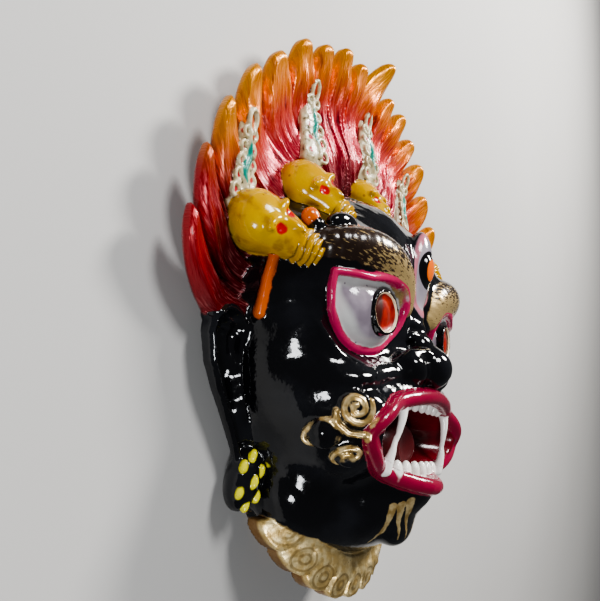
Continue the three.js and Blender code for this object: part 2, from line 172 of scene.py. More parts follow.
def rope(points, radii, flat=1.0):
    """A round rope through points, with a radius at each. flat below 1 lowers it."""
    points = np.array(points, float)
    radii = np.broadcast_to(np.array(radii, float), (len(points),))
    most = radii.max() / min(flat, 1)

    def distance(x, y, z):
        nearest = None
        for a, b, ra, rb in zip(points[:-1], points[1:], radii[:-1], radii[1:]):
            along = b - a
            px, py, pz = x - a[0], y - a[1], z - a[2]
            t = (px * along[0] + py * along[1] + pz * along[2]) / max(along @ along, 1e-9)
            t = np.clip(t, 0, 1)
            dx, dy, dz = px - t * along[0], py - t * along[1], (pz - t * along[2]) / flat
            d = np.sqrt(dx * dx + dy * dy + dz * dz) - lerp(ra, rb, t)
            nearest = d if nearest is None else np.minimum(nearest, d)
        return nearest

    return Form(points.min(0) - most, points.max(0) + most, distance)


def curve(points, count):
    """A smooth curve through points, as more points."""
    points = np.array(points, float)
    ends = np.vstack([2 * points[0] - points[1], points, 2 * points[-1] - points[-2]])
    made = []
    for s in np.linspace(0, len(points) - 1 - 1e-6, count):
        i, t = int(s), s - int(s)
        p0, p1, p2, p3 = ends[i : i + 4]
        square = 2 * p0 - 5 * p1 + 4 * p2 - p3
        cube = 3 * p1 - p0 - 3 * p2 + p3
        made.append(0.5 * (2 * p1 + (p2 - p0) * t + square * t**2 + cube * t**3))
    return np.array(made)


def under(top, x, y, z):
    """The distance to a surface of heights, allowing for its slope."""
    return (z - top(x, y)) / np.sqrt(1 + np.minimum(steepness(top, x, y, 0.3), 16))


# The head

def head_share(x, y, inset=0.0):
    s = (y - HEAD["y"]) / np.where(y > HEAD["y"], HEAD["up"], -HEAD["down"])
    width = 1 + s * np.where(y > HEAD["y"], TAPER["up"], TAPER["down"])
    across = np.abs(x) / ((HEAD["half_width"] - inset) * np.maximum(width, 0.1))
    high = np.where(y > HEAD["y"], HEAD["up"] - inset, HEAD["down"] - inset)
    up = np.abs(y - HEAD["y"]) / high
    return (across ** HEAD["power"] + up ** HEAD["power"]) ** (1 / HEAD["power"])


def dome_fall(share):
    return np.sqrt(np.maximum(0, 1 - share**4))


def face_height(x, y):
    """The broad forms of the face: cheeks, muzzle, chin, brows and eye sockets."""
    a = np.abs(x)
    relief = (
        6.8 * bump(a, y, 23, -27.5, 13, 16)
        + 8 * bump(x, y, 0, -27, 27, 21)
        + 7 * bump(x, y, 0, -42, 14, 13)
        + 1.5 * bump(a, y, 22, 7, 16, 8)
        - 4.6 * bump(a, y, 18.5, -7, 15, 11)
        - 5 * bump(a, y, 23, 19, 17, 11)
    )
    fall = dome_fall(head_share(x, y))
    return HEAD["depth"] * fall + np.minimum(1, 2 * fall) * relief


def height_at(x, y):
    return float(face_height(np.array(x), np.array(y)))


def along_line(x, y, start, end):
    """How far along a straight line a point lies, from 0 to 1, and its distance from the line."""
    (ax, ay), (bx, by) = start, end
    ux, uy = bx - ax, by - ay
    t = np.clip(((x - ax) * ux + (y - ay) * uy) / max(ux * ux + uy * uy, 1e-9), 0, 1)
    return t, np.hypot(x - ax - t * ux, y - ay - t * uy)


def polyline_distance(x, y, points):
    nearest = None
    for start, end in zip(points[:-1], points[1:]):
        d = along_line(x, y, start, end)[1]
        nearest = d if nearest is None else np.minimum(nearest, d)
    return nearest


# Creases and folds of the face: a line in x and y, how far it stands up, and its width.
FOLDS = [
    ([(8.5, -13.4), (13, -14.6), (19, -15.4), (26, -17.5), (31, -22)], 1.2, 1.9),
    ([(10, -15.4), (17, -18), (22, -18.8)], -0.9, 1.2),
    ([(24, -34.5), (22, -38), (19.5, -42), (15.5, -46)], -1.2, 1.4),
    ([(27.5, -33), (25, -38), (21, -43.5)], 0.9, 1.8),
    ([(13, -13), (19, -14.4), (25, -13), (29.5, -9)], 0.7, 1.3),
    ([(31.5, -8), (34, -13), (33, -19)], 0.8, 2.0),
    ([(30.5, -3), (33.5, -7), (34, -12)], -0.5, 1.2),
    ([(3.4, 1), (3.8, -3), (3.2, -7)], -0.8, 1.2),
    ([(12, -39.6), (9.5, -43), (8.6, -47)], -0.8, 1.0),
]


def face_top(x, y):
    a = np.abs(x)
    made = face_height(x, y)
    for points, height, width in FOLDS:
        made = made + height * ridge(polyline_distance(a, y, points), width)
    grain = noise(x / 2.6, y / 2.6, 11) * 0.12 + noise(x / 1.1, y / 1.1, 12) * 0.05
    return made + grain


def head_form():
    def distance(x, y, z):
        d = under(face_top, x, y, z)
        return np.maximum(d, (head_share(x, y) - 1) * 30)

    return Form((-42, -51, -1), (42, 27, 34), distance)


def jaw_form(side):
    """The jaw's lower edge, which stands over the collar."""
    return ball((side * 14.4, -40.8, 9), (11, 8.5, 9), turn=side * 30)


# The mouth

def mouth_rim(a, grow=0.0):
    c, s = math.cos(a), math.sin(a)
    reach = (abs(c) ** MOUTH["power"] + abs(s) ** MOUTH["power"]) ** (-1 / MOUTH["power"])
    x = reach * c * (MOUTH["half_width"] + grow)
    y = MOUTH["y"] + reach * s * (MOUTH["half_height"] + grow)
    return x, y, height_at(x, y)


def mouth_pocket(grow):
    half = (MOUTH["half_width"] + grow, MOUTH["half_height"] + grow, 20 + grow)
    return ball((0, MOUTH["y"], MOUTH["floor"] + 20), half)


def lips_form():
    turn = np.linspace(0, 2 * math.pi, 65)
    return rope([mouth_rim(a) for a in turn], 1.25 + 0.4 * np.abs(np.sin(turn)))


# The upper and lower fangs: across, up from the mouth's edge, and height.
FANG = [(11.2, -1.6, 28), (11.7, -4.6, 28.6), (12.4, -8, 28.4), (13.0, -10.6, 28)]
TUSK = [(13.8, 2.6, 27), (13.7, 4.4, 27.6), (13.3, 6.6, 28), (12.8, 8.6, 28)]


def teeth_forms():
    top, bottom = MOUTH["y"] + MOUTH["half_height"], MOUTH["y"] - MOUTH["half_height"]
    made = []
    for side in SIDES:
        for i, x in enumerate((1.8, 5.1, 8.2)):
            made.append(ball((side * x, top - 1.6, 28.4 - 0.2 * i), (1.15, 2.0, 1.1)))
        for i, x in enumerate((1.9, 5.6, 9.2)):
            made.append(ball((side * x, bottom + 2.2, 28 - 0.3 * i), (1.35, 2.3, 1.2)))
        for fang, edge, radius in ((FANG, top, 1.2), (TUSK, bottom, 1.35)):
            path = curve([(x, edge + y, z) for x, y, z in fang], 9)
            made.append(rope(path * (side, 1, 1), radius * (1 - 0.72 * np.linspace(0, 1, 9) ** 0.9)))
    return made


def tongue_form():
    """The tongue, hollowed along its middle."""
    def distance(x, y, z):
        body = ball_distance(x, y, z, (0, -28.6, 19.6), (9.4, 6.2, 6.2))
        groove = ball_distance(x, y, z, (0, -26.0, 27.2), (5.4, 7.5, 3.4))
        return np.maximum(body, -groove)

    return Form((-11, -36, 12), (11, -20, 28), distance)


def surface_frame(x, y):
    """A point of the face and two directions along it: up the face, and outwards."""
    e = 0.5
    here = np.array([x, y, height_at(x, y)])
    up = np.array([0, 2 * e, height_at(x, y + e) - height_at(x, y - e)])
    out = np.array([2 * e, 0, height_at(x + e, y) - height_at(x - e, y)])
    return here, up / np.linalg.norm(up), out / np.linalg.norm(out)


# Curls beside the mouth: place, radius, turns, the turn's start in degrees and rope size.
CURLS = [
    (24.3, -22.6, 3.2, 1.8, 150, 0.5),
    (22.5, -30.6, 2.6, 1.6, -90, 0.48),
    (26.2, -27.4, 3.1, 0.72, 200, 0.55),
]
CURL_STRIP = [(26.6, -23.6), (26.2, -25.6), (24.6, -27.2), (23.2, -27.2)]


def curl_points(curl, side):
    x, y, radius, turns, start, _ = curl
    here, up, out = surface_frame(x, y)
    off = np.cross(out, up)
    points = []
    for t in np.linspace(0, 1, 30):
        a = math.radians(start) + 2 * math.pi * turns * t
        r = radius * (1 - 0.86 * t) if turns > 1 else radius
        lift = 0.35 + 0.9 * (1 - (r / radius) ** 2)
        points.append(here + r * (math.cos(a) * out + math.sin(a) * up) + lift * off)
    return np.array(points) * (side, 1, 1)


def curl_forms():
    made = []
    for side in SIDES:
        for curl in CURLS:
            points = curl_points(curl, side)
            made.append(rope(points, np.linspace(curl[5], curl[5] * 0.7, len(points))))
        made.append(rope([(side * x, y, height_at(x, y) + 0.9) for x, y in CURL_STRIP], 0.55))
    return made


def curl_mounds():
    """Low bosses that the curls lie on."""
    made = []
    bosses = [(x, y, (radius, radius, 1.0)) for x, y, radius, *_ in CURLS]
    bosses.append((26.4, -27.2, (2.2, 2.2, 1.9)))
    for x, y, half in bosses:
        here, up, out = surface_frame(x, y)
        lean = math.degrees(math.atan2(-out[2], out[0]))
        for side in SIDES:
            made.append(ball(here * (side, 1, 1), half, lean=side * lean))
    return made


# Gold strokes of the beard: from and to.
TUFT = [((4.4, -38.4), (0.3, -46.6)), ((5.6, -39.4), (2.6, -46.4)), ((7.0, -39.8), (5.2, -48.2))]


def tuft_paint(a, y):
    """How far inside a stroke a point is; each tapers to its lower end."""
    made = np.full(a.shape, -2.0)
    for start, end in TUFT:
        t, distance = along_line(a, y, start, end)
        made = np.maximum(made, lerp(0.7, 0.05, t) - distance)
    return made


# The nose and the eyes

def nose_forms():
    made = [
        rope([(0, 1, 22.6), (0, -5, 23.4), (0, -10, 26.8)], [2.6, 3.0, 3.8]),
        ball((0, -11.8, 28.2), (4.8, 4.5, 5)),
    ]
    for y, z in ((-0.5, 24.6), (-3.6, 25.4), (-6.6, 27.0)):
        made.append(rope([(-3.6, y + 0.9, z - 1.8), (0, y, z), (3.6, y + 0.9, z - 1.8)], 1.15))
    for side in SIDES:
        made.append(ball((side * 6.2, -13, 26.4), (4.2, 3.5, 4.1), turn=side * 20))
        made.append(rope([(side * 4, -9.4, 29), (side * 8, -10, 27.2), (side * 10.4, -13, 25)], 1.0))
    return made


# The outline of an eye's opening, from its outer corner over the top.
EYE_LINE = [
    (29.6, 1.2), (27.6, 1.5), (22.6, 1.9), (18.6, 2.7), (14.0, 3.0), (10.4, 1.8), (8.5, -2.0), (9.3, -6.0),
    (13.4, -10.2), (18.8, -11.4), (22, -10.9), (24.4, -9.4), (27, -6.6), (28.6, -4.1), (29.5, -1.4),
    (29.6, 1.2),
]
EYE_EDGE = curve(EYE_LINE, 70)[:, :2]


def inside_line(x, y, points):
    """The distance in the plane to a closed line, positive inside it."""
    x, y = np.broadcast_arrays(x, y)
    inside = np.zeros(x.shape, bool)
    for (ax, ay), (bx, by) in zip(points[:-1], points[1:]):
        if ay != by:
            crosses = (ay > y) != (by > y)
            inside ^= crosses & (x < (bx - ax) * (y - ay) / (by - ay) + ax)
    return np.where(inside, 1, -1) * polyline_distance(x, y, points)


IRIS = {"place": (17.2, -3.7, 24.4), "radius": 4.4, "dish": 3.7}


def iris_frame(side):
    x, y, z = IRIS["place"]
    return (side * x, y, z), turning(0, -3, side * 8)


def iris_form(side):
    """A disc with a dished front, set in the white."""
    centre, rotation = iris_frame(side)

    def distance(x, y, z):
        a, b, c = local(x, y, z, centre, rotation)
        r = np.hypot(a, b)
        body = np.maximum(r - IRIS["radius"], np.abs(c) - 1.2)
        dish = np.maximum(r - IRIS["dish"], 0.15 + 0.045 * r * r - c)
        return np.maximum(body, -dish)

    return form_around(centre, np.array([5, 5, 3.0]), distance)


def white_form(side):
    return ball((side * EYE["x"], EYE["y"], EYE["z"]), EYE["half"], lean=side * 12, turn=side * 12)


def lid_form(side):
    return rope([(side * x, y, height_at(x, y) + 0.7) for x, y in EYE_EDGE], 0.72)


# A brow's line, from the nose over the eye to the temple, and its height over the face.
BROW = [
    (7.2, 0.2, -0.6), (9.6, 4.0, -0.8), (14, 6.4, -1.4),
    (20, 7.4, -1.8), (26, 7.2, -1.9), (32, 5.8, -1.6),
]


def brow_form(side):
    path = curve(BROW, 20)
    lift = [height_at(x, y) + z for x, y, z in path]
    t = np.linspace(0, 1, 20)
    radii = 4.5 * np.sin(math.pi * (0.14 + 0.7 * t)) ** 0.8
    return rope(np.column_stack([path[:, :2], lift]) * (side, 1, 1), radii, flat=0.85)


THIRD_EYE = {"place": (0, 8.6, 22.8), "half": (4.6, 10, 3.6), "iris_y": 9.6}


def third_eye_forms():
    """The third eye's white and its iris."""
    white = ball(THIRD_EYE["place"], THIRD_EYE["half"], tilt=4)
    return white, ball((0, THIRD_EYE["iris_y"], 25.6), (2.7, 3.5, 1.5), tilt=4)


# The ears

# An ear's line and its half width.
EAR = [
    (39.4, -12.4, 4.8), (38.4, -16.5, 4.2), (36.6, -20.5, 3.4), (33.4, -25.5, 2.7),
    (29.4, -31.4, 2.3), (26.8, -36, 2.2),
]
EAR_FOLD = [(38.2, -11), (37.6, -15), (35.4, -20), (32.4, -25.5), (29, -31)]


def ear_depth(x, y):
    """How far inside an ear's outline a point is."""
    a = np.abs(x)
    depth = None
    for start, end in zip(EAR[:-1], EAR[1:]):
        t, distance = along_line(a, y, start[:2], end[:2])
        d = lerp(start[2], end[2], t) - distance
        depth = d if depth is None else np.maximum(depth, d)
    return depth


def ear_top(x, y):
    a = np.abs(x)
    depth = ear_depth(x, y)
    rim = 1.5 * ridge(depth - 0.7, 0.6)
    fold = ridge(polyline_distance(a, y, EAR_FOLD), 0.9)
    cup = -1.5 * smooth(depth, 1.0, 2.8) * smooth(y, -30, -22)
    grain = 0.14 * noise(x / 1.2, y / 1.2, 31) + 0.2 * noise(x / 2.4, y / 2.4, 32)
    return 5.0 + 0.05 * (y + 13) + rim + fold + cup + grain * smooth(depth, 0, 1.5)


def ear_form():
    def distance(x, y, z):
        d = np.maximum(under(ear_top, x, y, z), -ear_depth(x, y))
        return np.maximum(d, 3.4 - 2.2 * smooth(ear_depth(x, y), 0.8, 2.8) - z)

    return Form((-47, -39, 0), (47, -6, 10), distance)


# Settings of an earring: across, up.
LOZENGES = [(1.0, 4.4), (-0.7, 1.8), (2.7, 2.4), (1.0, -0.2), (-0.7, -2.9), (2.8, -2.2), (1.0, -4.6)]


def earring_forms(side):
    centre, half = (side * 27.0, -38.0, 4.6), (3.5, 6.1, 3.6)
    boss = ball(centre, half, turn=side * 12)
    stones = []
    for x, y in LOZENGES:
        height = half[2] * math.sqrt(1 - (x / half[0]) ** 2 - (y / half[1]) ** 2)
        place = (centre[0] + side * x, centre[1] + y, centre[2] + height)
        stones.append(ball(place, (0.64, 1.3, 0.85), turn=side * 12))
    return boss, stones


# The diadem

def skull_place(place, x, y, z):
    """A point's place in a skull's own frame, with its cranium to +Y and its face to +Z."""
    x0, y0, z0, turn, tilt, size = place
    return local(x, y, z, (x0, y0, z0), turning(turn, tilt), size)


def skull_ridges(a, b):
    """Folds around the muzzle, from -1 in them to 1 between them."""
    return np.sin(2 * math.pi * (b + 0.12 * a * a) / 1.5) * smooth(-b, 5.4, 6.6)


def skull_form(place):
    size = place[5]

    def distance(x, y, z):
        a, b, c = skull_place(place, x, y, z)
        c = np.where(c < -0.4, (c + 0.4) * 0.55 - 0.4, c)
        d = ball_distance(a, b, c, (0, 1.8, -0.1), (5.5, 5.9, 4.6))
        d = blend(d, ball_distance(a, b, c, (0, -3.2, 0.3), (3.9, 4.6, 3.9)), 1.6)
        muzzle = ball_distance(a, b, c, (0, -7.6, 0.7), (3.3, 3.7, 3.1))
        d = blend(d, muzzle + 0.36 * skull_ridges(a, b), 1.2)
        d = blend(d, ball_distance(np.abs(a), b, c, (2.3, -0.4, 3.9), (1.9, 0.9, 0.9)), 0.9)
        d = blend(d, ball_distance(a, b, c, (0, -4.6, 4.0), (0.9, 1.8, 0.8)), 0.8)
        sockets = ball_distance(np.abs(a), b, c, (2.2, -2.3, 4.9), (1.35, 1.35, 1.6))
        pits = ball_distance(np.abs(a), b, c, (0.55, -6.0, 4.5), (0.4, 0.7, 0.8))
        return -blend(-np.maximum(d, -pits), sockets, 0.5) * size

    return form_around(place[:3], 12 * size, distance)


def socket_distance(a, b, c):
    return ball_distance(np.abs(a), b, c, (2.2, -2.3, 4.6), (1.05, 1.1, 2.0))


def plume_frame(plume, side):
    x, y, lean, length = plume
    a = math.radians(lean)
    along = np.array([side * math.sin(a), math.cos(a)])
    across = np.array([along[1], -along[0]])
    return np.array([side * x, y]), along, across, length


def plume_point(plume, side, u, v, lift):
    """A point of a plume: u across it and v along it, in millimetres."""
    foot, along, across, _ = plume_frame(plume, side)
    x, y = foot + v * along + u * across
    return (x, y, float(crown_front(np.array(x), np.array(y))) + lift)


def plume_scrolls(length):
    """The scrolls down an edge of a plume: how far across and along it, and the radius."""
    return [(2.2 - 0.2 * i, 1.6 + i * (length - 5.5) / 4.2, 1.45 - 0.12 * i) for i in range(5)]


def plume_forms(plume, side):
    """A leaf with a bulging middle, scrolls down both edges and a loop at its top."""
    length = plume[3]
    at = lambda u, v, lift: plume_point(plume, side, u, v, lift)
    spine = [at(0, 1, 0), at(0, length * 0.5, 0.1), at(0, length - 3.5, 0.1)]
    leaf = rope(spine, [3.7, 3.2, 1.9], flat=0.42)
    scrolls = []
    for u, v, r in plume_scrolls(length):
        for edge in SIDES:
            points = []
            for t in np.linspace(0, 1, 13):
                a = math.radians(-110 + 270 * t)
                q = r * (1 - 0.35 * t)
                points.append(at(edge * (u + q * math.cos(a)), v + q * math.sin(a), 1.2))
            scrolls.append(rope(points, 0.38))
    loop = []
    for t in np.linspace(0, 1, 15):
        a = 2 * math.pi * t
        loop.append(at(1.3 * math.sin(a), length - 2.2 + 2.2 * math.cos(a), 1.3))
    scrolls.append(rope(loop, 0.42))
    stem = [at(0.5 * math.sin(v * 0.9), v, 1.5) for v in np.linspace(1, length - 4.5, 14)]
    scrolls.append(rope(stem, np.linspace(0.7, 0.45, 14)))
    return leaf, scrolls


def bead_forms(side):
    return [
        ball((side * 26.2, 11.8, height_at(26.2, 11.8) + 0.2), (4.8, 2.1, 2.1), turn=-side * 14),
        ball((side * 31.8, 9.4, height_at(31.8, 9.4) + 0.6), (1.8, 1.7, 1.7), turn=side * 10),
    ]


def ribbon_forms(side):
    hang = [(36.4, 2, 11), (36, -1.6, 10), (35.4, -5, 9.3), (34.8, -8, 8.6)]
    knot = ball((side * 32.8, 10.8, 15.4), (2.0, 1.8, 1.7))
    return [rope(np.array(hang) * (side, 1, 1), [1.0, 0.95, 1.0, 1.15]), knot]


# The crown

def crown_place(x, y):
    """Where a point lies in the fan: degrees from the middle where it ends, and how far out."""
    x, y = np.broadcast_arrays(x, y)
    radius = np.hypot(x, y - FAN["y"])
    theta = np.degrees(np.arctan2(x, y - FAN["y"]))
    out = np.clip((radius - FAN["inner"]) / (FAN["tip"] - FAN["inner"]), 0, 1.12)
    rooted = BEND * (1 - np.minimum(out, 1) ** 3)
    angle = theta
    for _ in range(12):
        angle = theta - np.sign(angle) * rooted * np.sin(np.radians(angle)) ** 4
    return angle - 3.0 * ridge(angle, 6) * smooth(out, 0.75, 1.1), out, radius


def flame_share(angle):
    """A flame's number from the middle, and 0 on its middle to 1 at its sides."""
    turn = np.abs(angle)
    turn = np.where(turn < MIDDLE_FLAME, turn * 0.55, turn - 0.45 * MIDDLE_FLAME)
    turn = turn * SPREAD / (SPREAD - 0.45 * MIDDLE_FLAME)
    number = np.sign(angle) * FLAMES * (turn / SPREAD) ** (1 / EASE)
    k = np.clip(np.round(number), -FLAMES, FLAMES)
    return k, 2 * np.abs(number - k)


def crown_inside(x, y):
    """How far inside the crown's outline a point is."""
    angle, _, radius = crown_place(x, y)
    k, m = flame_share(angle)
    tip = np.where(k == 0, FAN["peak"], FAN["tip"] - 0.8 * (np.abs(k) % 2) * (np.abs(k) < 7))
    leaf = np.maximum(1 - (m / np.where(k == 0, 1.1, 0.9)) ** 3, 0) ** 0.5
    return lerp(FAN["valley"], tip, leaf) - radius


def crown_edge(x, y):
    return crown_inside(x, y) / np.maximum(np.sqrt(steepness(crown_inside, x, y, 0.4)), 1)


def crown_back(x, y):
    out = np.clip((np.hypot(x, y - FAN["y"]) - FAN["flat"]) / (FAN["tip"] - FAN["flat"]), 0, 1.2)
    return CROWN_LIFT * out**1.7


def crown_front(x, y):
    radius = np.hypot(x, y - FAN["y"])
    taper = 1.0 * smooth(radius, 44, 55)
    root = 4.5 * (1 - smooth(radius, 30, 45))
    return crown_back(x, y) + CROWN_THICKNESS - taper + root


def strand_place(angle, radius):
    """Where a point lies across the strands, which waver along their length."""
    across = angle * 0.87
    return across + 1.3 * noise(across / 9, radius / 15, 3) + 0.5 * noise(across / 3, radius / 8, 4)


def crown_top(x, y):
    angle, out, radius = crown_place(x, y)
    m = np.minimum(flame_share(angle)[1], 1)
    across = strand_place(angle, radius)
    rise = 2.3 * (1 - m**2) * smooth(out, 0.5, 0.85)
    dish = 0.9 * ridge(m, 0.45) * smooth(out, 0.6, 0.85) * (1 - smooth(out, 0.93, 1.02))
    dish = dish * smooth(np.abs(angle), 20, 50)
    lock = 1 - 2 * np.abs(noise(across / 2.3, radius / 20, 5))
    strand = noise(across / 1.15, radius / 10, 6)
    hair = 1 - 0.9 * smooth(out, 0.78, 0.93)
    made = crown_front(x, y) - 0.7 + rise - dish
    return made + hair * (0.75 * lock + 0.42 * strand)


def crown_form():
    def distance(x, y, z):
        inside = crown_edge(x, y)
        round_off = (1 - np.clip(inside / 1.7, 0, 1)) ** 2
        d = under(crown_top, x, y, z) + 1.3 * round_off
        d = np.maximum(d, crown_back(x, y) + 0.9 * round_off - z)
        angle, _, radius = crown_place(x, y)
        last = SPREAD * ((FLAMES + 0.5) / FLAMES) ** EASE
        end = (np.abs(angle) - last) * np.radians(1) * radius
        return np.maximum(np.maximum(d, -inside), end)

    return Form(LOW, HIGH, distance)


# The collar

def collar_place(x, y):
    """A point's angle in degrees and its depth in from the collar's outer edge."""
    px, py = x / COLLAR["half_width"], (y - COLLAR["y"]) / COLLAR["half_height"]
    angle = np.degrees(np.arctan2(py, px)) % 360
    return angle, (1 - np.hypot(px, py)) * 24


def lobe_share(angle):
    """0 on the middle of a lobe to 1 between two of them."""
    u = (angle - COLLAR["from"]) / (COLLAR["to"] - COLLAR["from"]) * LOBES
    return 2 * np.abs(u - np.floor(u) - 0.5)


def petal_reach(m, depth):
    """How far a point is from the middle of its petal."""
    return np.hypot(m * 2.4, (depth - 1.0) * 0.75)


def collar_height(x):
    return 8 + 9 * (1 - np.minimum(np.abs(x / COLLAR["half_width"]), 1.2) ** 3)


def collar_top(x, y):
    angle, depth = collar_place(x, y)
    m = lobe_share(angle)
    middle = 1 - smooth(np.abs(angle - 275), 26, 44)
    petal = petal_reach(m, depth)
    nested = 0.2 * np.cos(2 * math.pi * petal / 2.3) * (1 - smooth(petal, 2.4, 3.4))
    crest = 1.1 * np.sin(math.pi * np.clip((depth + 1.8) / 9.3, 0, 1))
    dents = -0.7 * ridge(np.hypot(m * 2.6, depth - 3.4), 0.7) * (1 - middle)
    rim = 0.5 * ridge(depth - 6.7, 0.6)
    gap = -1.7 * smooth(m, 0.7, 1) * (1 - smooth(depth, 1.2, 3.4)) * (0.25 + 0.75 * middle)
    grain = 0.09 * noise(x / 1.6, y / 1.6, 41) + 0.04 * noise(x / 0.8, y / 0.8, 42)
    return collar_height(x) - 0.8 + crest + nested * (0.3 + 0.7 * middle) + dents + rim + gap + grain


def collar_form():
    def distance(x, y, z):
        angle, depth = collar_place(x, y)
        m = lobe_share(angle)
        side = smooth(np.abs(angle - 270), 22, 50)
        bulge = np.sqrt(np.maximum(1 - m**2, 0))
        outer = -depth + lerp(0.5, -0.9, side) - lerp(2.3, 0.8, side) * bulge
        ends = np.maximum(COLLAR["from"] - angle, angle - COLLAR["to"]) * 0.42
        under_side = np.where(depth > 3.6, 0, np.maximum(collar_height(x) - 4.4, 0)) - z
        d = np.maximum(under(collar_top, x, y, z), np.maximum(outer, depth - COLLAR["band"]))
        return np.maximum(np.maximum(d, ends), under_side)

    return Form((-28, -61, -1), (28, -40, 19), distance)


# The hollow of the back

def hollow_form():
    pocket = mouth_pocket(WALL)

    def distance(x, y, z):
        share = head_share(x, y, WALL)
        inside = np.maximum(z - HOLLOW_HEIGHT * dome_fall(share), (share - 1) * 30)
        return np.maximum(inside, -pocket.distance(x, y, z))

    return Form((-40, -52, -1), (40, 30, 22), distance)


# Everything that the casting is made of, by the paint it gets, with how softly it joins

def build_groups():
    third_white, third_iris = third_eye_forms()
    chin = [
        (ball((0, -40.5, 15), (14, 9, 12)), 3),
        (ball((0, -43.0, 23.4), (5.8, 5.4, 4.2), tilt=-10), 1),
        (ball((0, -43.2, 12.5), (18, 8.6, 9)), 3),
    ]
    black = [(head_form(), 0), chin[0]]
    black += [(form, 0.8) for form in curl_mounds()]
    black += [(jaw_form(side), 4) for side in SIDES]
    groups = {
        "black": black + chin[1:],
        "hair": [(crown_form(), 1.0)],
        "collar": [(collar_form(), 0.6)],
        "ear": [(ear_form(), 1.8)],
        "nose": [(form, 1.1) for form in nose_forms()],
        "curl": [(form, 0.35) for form in curl_forms()],
        "third": [(third_white, 0.8)],
        "third_iris": [(third_iris, 0.2)],
        "white": [(white_form(side), 0.6) for side in SIDES],
        "iris": [(iris_form(side), 0.15) for side in SIDES],
        "lid": [(lid_form(side), 0.5) for side in SIDES],
        "brow": [(brow_form(side), 1.6) for side in SIDES],
        "earring": [(earring_forms(side)[0], 0.6) for side in SIDES],
        "stones": [(stone, 0.2) for side in SIDES for stone in earring_forms(side)[1]],
        "skull": [(skull_form(place), 0.4) for place in SKULLS],
        "plume": [(plume_forms(*plume)[0], 0.5) for plume in ALL_PLUMES],
        "scroll": [(form, 0.25) for plume in ALL_PLUMES for form in plume_forms(*plume)[1]],
        "bead": [(form, 0.3) for side in SIDES for form in bead_forms(side)],
        "ribbon": [(form, 0.3) for side in SIDES for form in ribbon_forms(side)],
    }
    inner = {
        "lips": [(lips_form(), 0.5)],
        "teeth": [(form, 0.3) for form in teeth_forms()],
        "tongue": [(tongue_form(), 0.8)],
    }
    return groups, inner


AXES = [np.arange(LOW[i], HIGH[i] + STEP, STEP) for i in range(3)]


def window(form, margin):
    """The part of the grid near a form."""
    cut = []
    for i, axis in enumerate(AXES):
        a, b = np.searchsorted(axis, [form.low[i] - margin, form.high[i] + margin])
        cut.append(slice(a, max(b, a + 1)))
    x, y, z = (axis[c] for axis, c in zip(AXES, cut))
    return tuple(cut), x[:, None, None], y[None, :, None], z[None, None, :]


def add(field, form, k):
    cut, x, y, z = window(form, k + 2 * STEP)
    field[cut] = blend(field[cut], form.distance(x, y, z).astype(np.float32), k)


def cut_away(field, form, k):
    cut, x, y, z = window(form, k + 2 * STEP)
    field[cut] = -blend(-field[cut], form.distance(x, y, z).astype(np.float32), k)


def cast(groups, inner):
    field = np.full([len(axis) for axis in AXES], 9, np.float32)
    for forms in groups.values():
        for form, k in forms:
            add(field, form, k)
    cut_away(field, mouth_pocket(MOUTH_CUT), 0.6)
    for forms in inner.values():
        for form, k in forms:
            add(field, form, k)
    cut_away(field, hollow_form(), 0)
    floor = -AXES[2][None, None, :].astype(np.float32)
    return np.maximum(field, floor)


def surface(field):
    """Points and quads where the field crosses zero: one point to each crossed cell."""
    inside = field < 0
    shape = [n - 1 for n in field.shape]
    part = lambda a, o: a[tuple(slice(o[i], o[i] + shape[i]) for i in range(3))]
    corners = [(i, j, k) for i in (0, 1) for j in (0, 1) for k in (0, 1)]
    filled = sum(part(inside, o).astype(np.int8) for o in corners)
    cells = np.argwhere((filled > 0) & (filled < len(corners)))
    number = np.full(shape, -1, np.int32)
    number[tuple(cells.T)] = np.arange(len(cells))
    values = {o: field[tuple((cells + o).T)] for o in corners}
    total, count = np.zeros((len(cells), 3)), np.zeros(len(cells))
    for o in corners:
        for axis in range(3):
            if o[axis]:
                continue
            other = list(o)
            other[axis] = 1
            a, b = values[o], values[tuple(other)]
            crossed = (a < 0) != (b < 0)
            t = np.where(crossed, a / np.where(crossed, a - b, 1), 0)
            point = np.array(o, float)[None, :].repeat(len(cells), 0)
            point[:, axis] = t
            total += np.where(crossed[:, None], point, 0)
            count += crossed
    points = LOW + (cells + total / count[:, None]) * STEP
    quads = []
    for axis in range(3):
        turned = np.moveaxis(inside, axis, 0)
        a = np.moveaxis(turned[:-1], 0, axis)
        edges = np.argwhere(a != np.moveaxis(turned[1:], 0, axis))
        u, v = [i for i in range(3) if i != axis]
        keep = (edges[:, u] > 0) & (edges[:, v] > 0)
        keep &= (edges[:, u] < shape[u]) & (edges[:, v] < shape[v])
        edges = edges[keep]
        ring = []
        for du, dv in ((-1, -1), (0, -1), (0, 0), (-1, 0)):
            cell = edges.copy()
            cell[:, u] += du
            cell[:, v] += dv
            ring.append(number[tuple(cell.T)])
        made = np.stack(ring, 1)
        outward = a[tuple(edges.T)] != (axis == 1)
        made[~outward] = made[~outward][:, ::-1]
        quads.append(made)
    return points, np.concatenate(quads)


# How far each mesh point is from each form, for the paint

def reach(forms, x, y, z, most=6.0):
    """The distance from points to the nearest of some forms, up to a limit."""
    made = np.full(len(x), most)
    for form, _ in forms:
        near = np.ones(len(x), bool)
        for value, low, high in zip((x, y, z), form.low, form.high):
            near &= (value > low - most) & (value < high + most)
        if near.any():
            made[near] = np.minimum(made[near], form.distance(x[near], y[near], z[near]))
    return made


def paint_share(name, far, others):
    """How far inside a form's own paint each point is, given its distances to the others."""
    return np.clip(np.minimum((np.min(others, axis=0) - far[name]) * 0.5, 1 - far[name]), -2, 2)


# The groups that get a paint of their own by how near they are.
PAINTED = ["hair", "collar", "curl", "lid", "brow", "stones", "skull", "plume", "scroll", "bead", "ribbon"]


